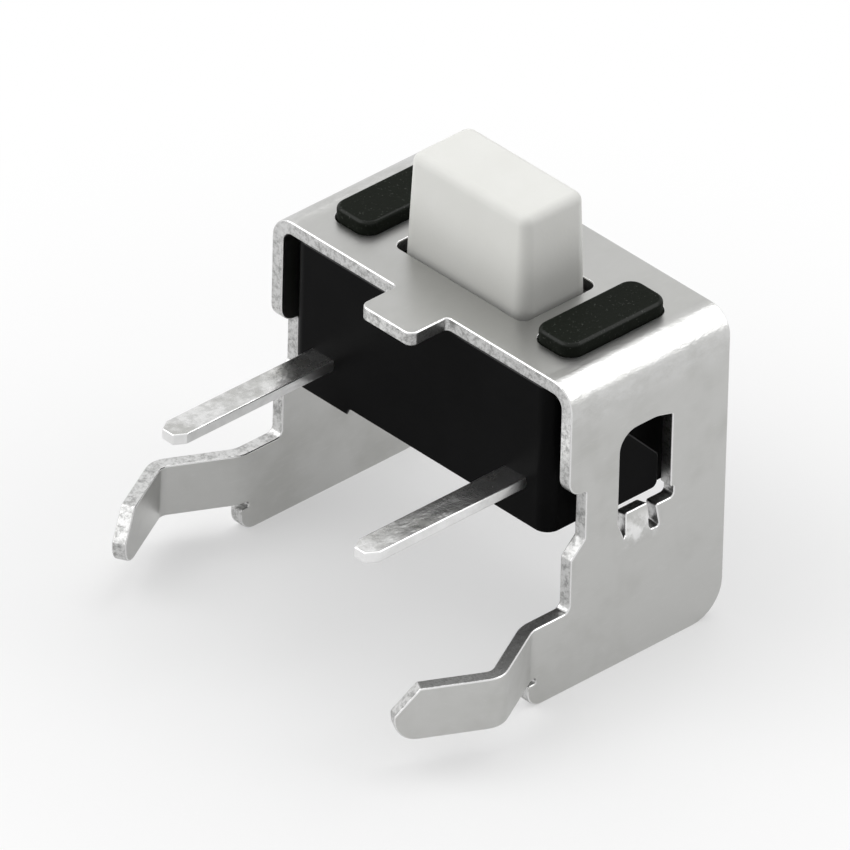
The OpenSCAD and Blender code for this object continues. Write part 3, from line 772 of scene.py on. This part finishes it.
# Block with its cavity, posts and bosses. Its lower face is lifted between the two end feet:
# the level rises by the lift over a narrow smooth step at each end of the span. Posts and
# bosses start a little below the surface that they stand on.
def housingBlock():
    s, win = housingSize, windowSize
    depth, top = nodeBox("housing")[1][1:]
    middle = depth / 2

    def lowerFace(point):
        share = np.clip((s["span"] / 2 - abs(point[:, 0])) / s["stepWidth"] + 0.5, 0, 1)
        return s["low"] + s["lift"] * share * share * (3 - 2 * share)

    outline = rectangleLoop((0, middle), s["width"], depth, s["corner"], s["spacing"])
    cavity = rectangleLoop((0, middle), *s["cavity"], s["corner"], s["spacing"], True)
    body = slab([outline], s["high"], lowerFace, s["edge"], pits=[(*cavity, s["floor"])])

    postY = middle - s["postAhead"]
    posts = [slab([rectangleLoop((side * s["postPitch"] / 2, postY), *s["post"],
                                 s["postCorner"], s["spacing"])],
                  top, s["high"] - s["sunk"], s["postEdge"], roundSteps=7)
             for side in (-1, 1)]

    # bosses in the bracket's windows: an outline in Y and Z with uncut sides, raised along X
    front = win["y"] + s["bossGap"]
    rear = front + s["bossShare"] * win["width"]
    low, high, slope = s["bossLow"], s["bossHigh"], s["bossSlope"]
    boss = roundedLoop([(front, low), (rear, low), (rear, high - slope), (rear - slope, high),
                        (front, high)], s["bossRadii"], s["width"])
    face = bracketSize["width"] / 2 - s["bossDrop"]
    raised = slab([boss], face, s["width"] / 2 - s["sunk"], s["edge"])
    bosses = [placed(raised, [(0, 1, 0), (0, 0, 1), (side, 0, 0)]) for side in (1, -1)]
    return joined([body, *posts, *bosses], [0, 1, 1, 0, 0])


black = blackMoulding()
addPiece("housing_block", housingBlock(), black, "switch_body", "housing")


plungerSize = {"width": 2.86, "depth": 1.46, "ahead": 0.14, "draft": 2.2, "edge": 0.17,
               "corner": 0.19, "spacing": 0.05, "plate": 5.75, "sunk": 0.05,
               "flange": (2.94, 2.3), "flangeHigh": 5.45, "flangeLow": 4.95,
               "flangeCorner": 0.22, "nub": 1.0, "nubCorner": 0.4995, "nubLow": 4.01,
               "nubSpacing": 0.1, "hiddenEdge": 0.02, "sharpEdge": 0.001}


# Drafted button with rounded upper edges, on its flange and nub. Its width and depth are
# measured at the top plate and its corners at the top, and all grow downwards with the
# draft's tangent. The button stands a little ahead of its flange's middle.
def plungerBlock():
    s = plungerSize
    lowest, highest = nodeBox("plunger")
    middle, top = (lowest[1] + highest[1]) / 2, highest[2]
    slope = math.tan(math.radians(s["draft"]))
    foot = s["flangeHigh"] - s["sunk"]
    grow = 2 * (s["plate"] - foot) * slope
    corner = s["corner"] + (top - foot) * slope
    outline = rectangleLoop((0, middle - s["ahead"]), s["width"] + grow, s["depth"] + grow,
                            corner, s["spacing"])
    stem = slab([outline], top, foot, s["edge"], draft=s["draft"], edgeLow=s["sharpEdge"],
                roundSteps=8)
    flange = slab([rectangleLoop((0, middle), *s["flange"], s["flangeCorner"], s["spacing"])],
                  s["flangeHigh"], s["flangeLow"], s["hiddenEdge"])
    nub = slab([rectangleLoop((0, middle), s["nub"], s["nub"], s["nubCorner"],
                              s["nubSpacing"])],
               s["flangeLow"] + s["sunk"], s["nubLow"], s["hiddenEdge"])
    return joined([stem, flange, nub])


ivory = ivoryMoulding()
addPiece("plunger_button", plungerBlock(), ivory, "button", "plunger")


terminalSize = {"pitch": 4.5, "width": 0.5, "thick": 0.2, "taper": 0.2, "tip": 0.26,
                "corner": 0.04, "edge": 0.022, "spacing": 0.08, "middle": 1.75, "pad": 0.6,
                "padX": 1.3, "carrier": 0.3, "carrierY": 0.12}


# Flat blade with a tapered tip, whose hidden end is the left pad or the middle contact. Both
# are outlined on the right, and the left one is mirrored.
def terminalBlade(side):
    s = terminalSize
    lowest, highest = nodeBox("terminal_left" if side < 0 else "terminal_right")
    tip, high = lowest[1], highest[2]
    middle, pad, centre = s["middle"], s["pad"], s["pitch"] / 2
    inner, outer = centre - s["width"] / 2, centre + s["width"] / 2
    if side < 0:
        hidden = [(outer, middle + pad), (s["padX"], middle + pad), (s["padX"], middle - pad),
                  (inner, middle - pad)]
    else:
        front, rear = s["carrierY"], s["carrierY"] + s["carrier"]
        hidden = [(outer, rear), (pad / 2, rear), (pad / 2, middle + pad / 2),
                  (-pad / 2, middle + pad / 2), (-pad / 2, front), (inner, front)]
    blade = [(inner, tip + s["taper"]), (centre - s["tip"] / 2, tip),
             (centre + s["tip"] / 2, tip), (outer, tip + s["taper"])] + hidden
    loop = roundedLoop(blade, s["corner"], s["spacing"], 5)
    solid = slab([loop], high, high - s["thick"], s["edge"])
    return placed(solid, [(side, 0, 0), (0, 1, 0), (0, 0, 1)])


silver = platedBrass()
for side, word in ((-1, "left"), (1, "right")):
    addPiece("terminal_blade_" + word, terminalBlade(side), silver, "switch_body",
             "terminal_" + word)


domeSize = {"length": 3.2, "width": 2.1, "corner": 0.75, "sheet": 0.07, "edge": 0.02,
            "spacing": 0.08, "margin": 0.04, "grid": (34, 22), "pressed": 0.34}


# Snap dome on the cavity's floor. From its crown, the sheet falls with the square of the
# distance from its centre, and its feet lie on the floor.
def snapDome():
    s = domeSize
    lowest, highest = nodeBox("contact_dome")
    middle = (lowest[1] + highest[1]) / 2
    outline = rectangleLoop((0, middle), s["length"], s["width"], s["corner"], s["spacing"])
    grid = [np.linspace(lowest[k], highest[k], s["grid"][k]) for k in (0, 1)]
    extra = innerPoints([outline], *grid, s["margin"])
    flat = slab([outline], s["sheet"], 0, s["edge"], extra)
    x, y, height = flat["points"].T
    across, along, upward = flat["normals"].T
    y = y - middle
    crown = highest[2] - s["sheet"]
    fall = (crown - lowest[2]) / (s["length"] / 2) ** 2
    dome = dict(flat)
    dome["points"] = np.stack([x, y + middle, crown + height - fall * (x ** 2 + y ** 2)], 1)
    dome["normals"] = np.stack([across + 2 * fall * x * upward, along + 2 * fall * y * upward,
                                upward], 1)
    return dome


dome = addPiece("snap_dome", snapDome(), springSteel(), "switch_body", "contact_dome")
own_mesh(dome)


studio = {"floorSize": 1200, "floorColour": (0.9, 0.9, 0.9, 1),
          "floorCloud": (0.88, 0.88, 0.88, 1), "cloud": (0.05, 2, 0.5), "clouded": (0.3, 0.7),
          "floorRough": 0.55, "fade": (4, 15), "lift": 0.4,
          "skyColour": (1, 1, 1, 1), "skyStrength": 0.32, "lampTarget": (0, 1.7, 3.5)}
lamps = {  # direction from the switch, direction of its width, distance, sides, brightness
    "key": ((-0.5, -0.62, 0.75), (0.78, -0.63, 0), 80, (80, 70), 2.1),
    "strip": ((0.345, 0.592, 0.74), (0.906, 0, -0.423), 70, (120, 25), 2.3),
    "top": ((-0.25, 0.2, 1), (1, 0, 0.25), 80, (60, 60), 1.0)}


# 1 for what the camera sees, also in metal or through something clear, and 0 for light that
# falls on surfaces
def seenDirectly(wire):
    kinds = [wire.node("ShaderNodeLightPath", None, None, name)
             for name in ("Is Camera Ray", "Is Glossy Ray", "Is Transmission Ray")]
    return wire.maths("MAXIMUM", kinds[0], wire.maths("MAXIMUM", kinds[1], kinds[2]))


# Pale floor, partly lifted to plain white where it is seen, and wholly so far away
def paleFloor():
    half = studio["floorSize"] * mm / 2
    mesh = bpy.data.meshes.new("floor")
    mesh.from_pydata([(-half, -half, 0), (half, -half, 0), (half, half, 0), (-half, half, 0)],
                     [], [(0, 1, 2, 3)])
    floor = bpy.data.objects.new("floor", mesh)
    bpy.context.scene.collection.objects.link(floor)
    finish, spot = newFinish("pale floor")
    flatSpot = spot.stretched((1, 1, 0))
    away = spot.node("ShaderNodeVectorMath", {"operation": "LENGTH"}, {0: flatSpot}, "Value")
    clouded = spot.noise(*studio["cloud"]).step(*studio["clouded"])
    tint = clouded.blend(studio["floorColour"], studio["floorCloud"])
    matte = spot.node("ShaderNodeBsdfPrincipled", None,
                      {"Base Color": tint, "Roughness": studio["floorRough"]})
    white = spot.node("ShaderNodeEmission", None, {"Color": (1, 1, 1, 1), "Strength": 1.0})
    fade = away.step(*studio["fade"])
    share = (fade * (1 - studio["lift"]) + studio["lift"]) * seenDirectly(spot)
    mixed = spot.node("ShaderNodeMixShader", None, {0: share, 1: matte, 2: white})
    spot.node("ShaderNodeOutputMaterial", None, {"Surface": mixed})
    mesh.materials.append(finish)


# World: plain sky light, shown white to the camera and in reflections
def plainSky():
    world = bpy.data.worlds.new("sky")
    bpy.context.scene.world = world
    world.use_nodes = True
    world.node_tree.nodes.clear()
    wire = Wire(world.node_tree)
    strength = seenDirectly(wire) * (1 - studio["skyStrength"]) + studio["skyStrength"]
    sky = wire.node("ShaderNodeBackground", None,
                    {"Color": studio["skyColour"], "Strength": strength})
    wire.node("ShaderNodeOutputWorld", None, {"Surface": sky})


# Lamp that faces the switch, with its width along a given direction. Its power is its
# brightness times pi times its area.
def addLamp(name, direction, across, distance, sides, brightness, target):
    light = bpy.data.lights.new(name, "AREA")
    light.shape = "RECTANGLE"
    light.size, light.size_y = sides[0] * mm, sides[1] * mm
    light.energy = brightness * math.pi * sides[0] * sides[1] * mm * mm
    lamp = bpy.data.objects.new(name, light)
    bpy.context.scene.collection.objects.link(lamp)
    back = Vector(direction).normalized()
    up = back.cross(Vector(across)).normalized()
    turn = Matrix((up.cross(back), up, back)).transposed().to_4x4()
    lamp.matrix_world = Matrix.Translation(target + back * distance * mm) @ turn


cameraView = {"azimuth": 46.06, "elevation": 33.7, "roll": 1.44, "distance": 400,
              "frameWidth": 13.6, "sensor": 36, "clip": (10, 5000),
              "target": (0.25, -0.1, 3.55)}


# Camera on its azimuth and elevation, rolled about its own axis. The lens is what shows
# frameWidth across the picture at the target.
def addCamera():
    view = cameraView
    azimuth, elevation, roll = (math.radians(view[key])
                                for key in ("azimuth", "elevation", "roll"))
    back = Vector((math.sin(azimuth) * math.cos(elevation),
                   -math.cos(azimuth) * math.cos(elevation), math.sin(elevation)))
    right = Vector((math.cos(azimuth), math.sin(azimuth), 0))
    up = back.cross(right)
    rolledRight = right * math.cos(roll) + up * math.sin(roll)
    rolledUp = up * math.cos(roll) - right * math.sin(roll)
    data = bpy.data.cameras.new("camera")
    data.sensor_width = view["sensor"]
    data.lens = view["sensor"] * view["distance"] / view["frameWidth"]
    data.clip_start, data.clip_end = (distance * mm for distance in view["clip"])
    camera = bpy.data.objects.new("camera", data)
    bpy.context.scene.collection.objects.link(camera)
    place = (Vector(view["target"]) + back * view["distance"]) * mm
    turn = Matrix((rolledRight, rolledUp, back)).transposed().to_4x4()
    camera.matrix_world = Matrix.Translation(place) @ turn
    bpy.context.scene.camera = camera


paleFloor()
plainSky()
for name, lamp in lamps.items():
    addLamp(name, *lamp, Vector(studio["lampTarget"]) * mm)
addCamera()
bpy.context.scene.view_settings.view_transform = "Standard"
print("studio set")
